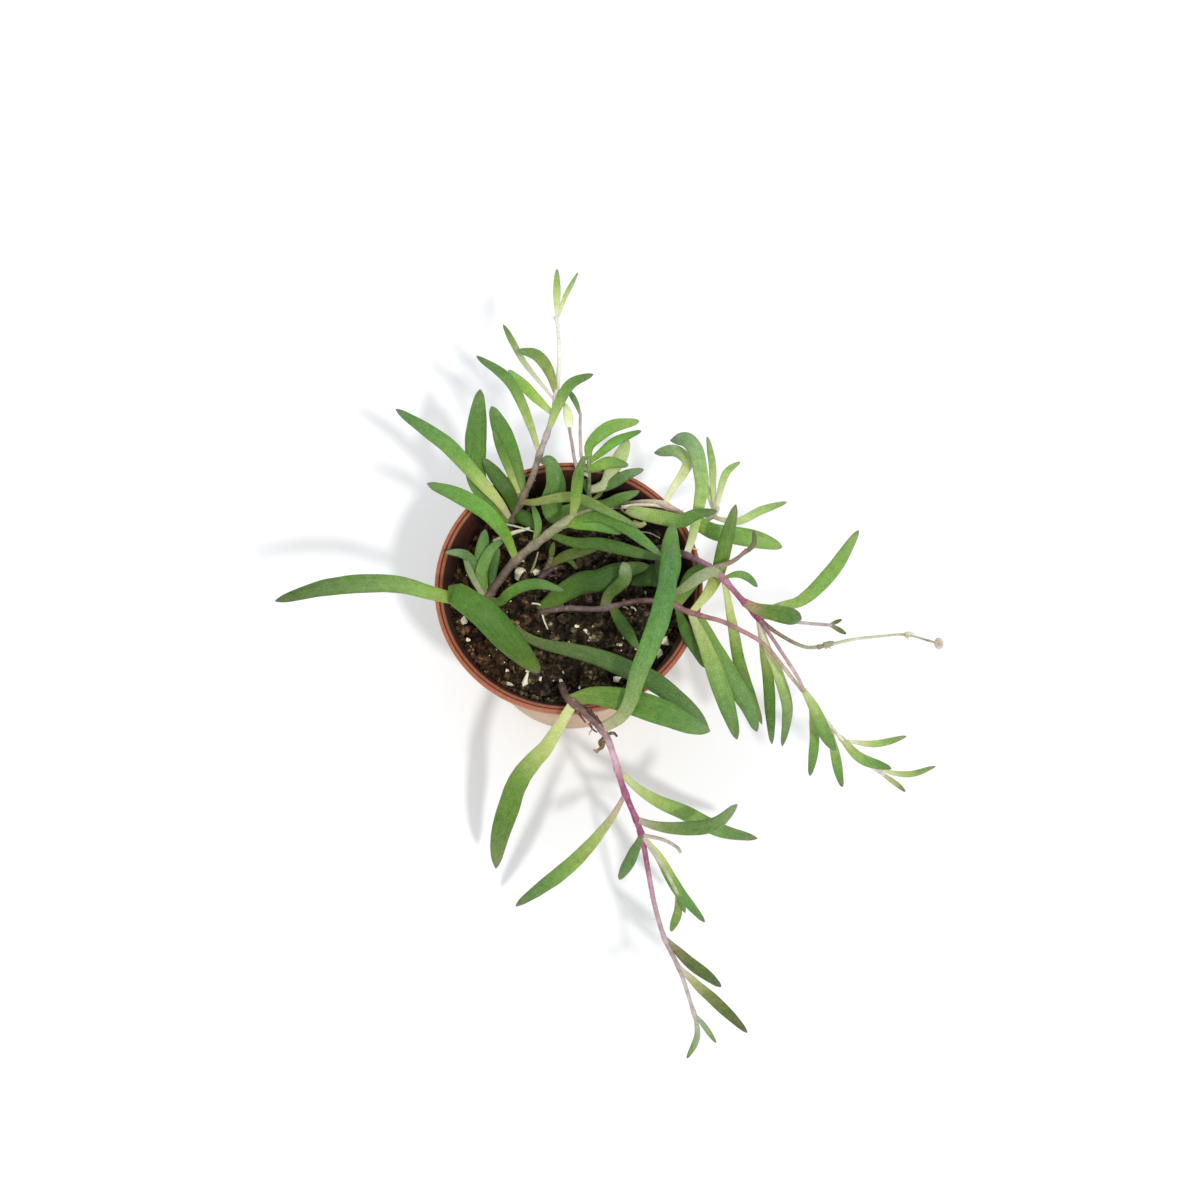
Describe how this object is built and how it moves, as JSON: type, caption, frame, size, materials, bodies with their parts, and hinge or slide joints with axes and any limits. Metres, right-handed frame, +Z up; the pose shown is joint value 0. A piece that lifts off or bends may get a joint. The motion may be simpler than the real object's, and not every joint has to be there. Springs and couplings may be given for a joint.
{
  "type": "potted trailing succulent",
  "caption": "Small round plastic nursery pot of soil with a string of bananas plant: thin arching stems over the rim, long pointed fleshy leaves and a thin flower stalk.",
  "frame": {"origin": "middle of the pot's underside, on the surface that the pot stands on", "axes": "+Z up, the pot's axis; the longest trailing stem points to -Y, the front, and the flower stalk to +X, the right"},
  "size_m": [0.1412, 0.175, 0.071],
  "materials": {
    "pot_plastic": "satin terracotta-coloured thin plastic, darker inside",
    "potting_soil": "rough dark peat with white mineral grains",
    "leaves": "matt fleshy green leaves on purple-brown stems",
    "pale_leaves": "matt yellow-green leaves on a dry cream stem",
    "flower": "dry cream flower head"
  },
  "bodies": {
    "root": {"pot": "pot_plastic", "soil": "potting_soil", "stem_front": "leaves", "stem_right": "leaves", "stem_upper_right": "leaves", "stem_back_right": "pale_leaves", "stem_back": "leaves", "stem_centre": "leaves", "stem_back_centre": "leaves", "stem_left": "leaves", "stem_young": "leaves", "flower_head": "flower"}
  },
  "joints": []
}
